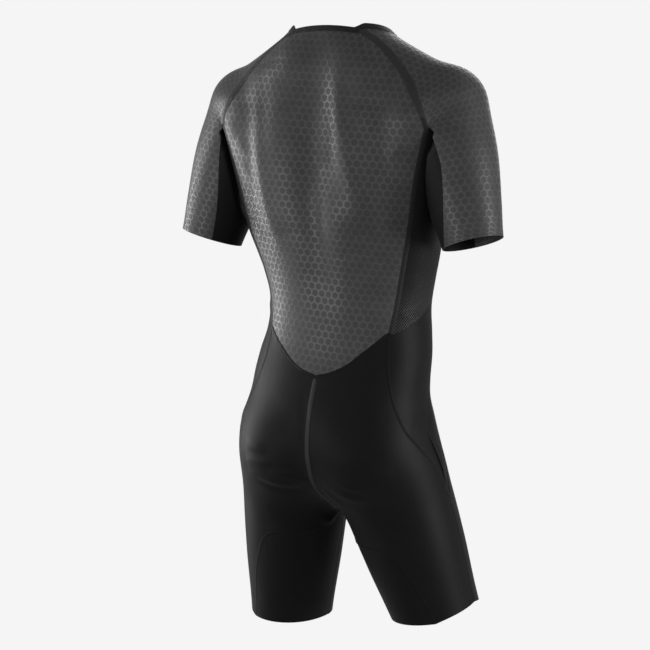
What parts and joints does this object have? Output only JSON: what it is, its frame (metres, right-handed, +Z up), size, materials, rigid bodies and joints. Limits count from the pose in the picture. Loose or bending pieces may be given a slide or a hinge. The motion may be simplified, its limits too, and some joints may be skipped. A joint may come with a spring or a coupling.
{
  "type": "short-sleeved triathlon suit",
  "caption": "One-piece short-sleeved triathlon suit in its worn shape: grey back and raglan sleeves, black ribbed sides, black shorts, front zip with a pull tab that turns",
  "frame": {"origin": "between the shoulder points, level with the sides of the neck, where the wearer's shoulders hold the suit up", "axes": "+X to the wearer's left, -Y to the wearer's front, +Z up"},
  "size_m": [0.5713, 0.2584, 0.9838],
  "materials": {
    "grey_honeycomb": "smooth grey woven face with a slightly lighter, glossy honeycomb line",
    "ribbed_mesh": "matte black knit with fine diagonal ribs",
    "black_knit": "matte black smooth knit",
    "seam_tape": "dark flat seam tape and cover stitching",
    "zip_tape": "black woven tape",
    "zip_chain": "black nylon coil",
    "zip_metal": "dark grey lacquered metal"
  },
  "bodies": {
    "garment": {"back_panel": "grey_honeycomb", "sleeve_left": "grey_honeycomb", "sleeve_right": "grey_honeycomb", "side_panel_left": "ribbed_mesh", "side_panel_right": "ribbed_mesh", "underarm_gusset_left": "black_knit", "underarm_gusset_right": "black_knit", "front_panel_left": "black_knit", "front_panel_right": "black_knit", "seat_panel_left": "black_knit", "seat_panel_right": "black_knit", "hip_panel_left": "black_knit", "hip_panel_right": "black_knit", "side_pocket_left": "black_knit", "side_pocket_right": "black_knit", "shorts_front_left": "black_knit", "shorts_front_right": "black_knit", "inner_leg_panel_left": "black_knit", "inner_leg_panel_right": "black_knit", "seam_band_back_left": "seam_tape", "seam_band_back_right": "seam_tape", "seam_band_front_left": "seam_tape", "seam_band_front_right": "seam_tape", "neck_band": "seam_tape", "zip_tape_left": "zip_tape", "zip_tape_right": "zip_tape", "zip_chain": "zip_chain", "zip_slider": "zip_metal"},
    "pull_tab": {"zip_pull_tab": "zip_metal"}
  },
  "joints": [
    {"name": "pull_tab_hinge", "type": "hinge", "parent": "garment", "child": "pull_tab", "pos_m": [0, -0.06056, -0.03917], "axis": [-1, 0, 0], "range_deg": [0, 150]}
  ]
}
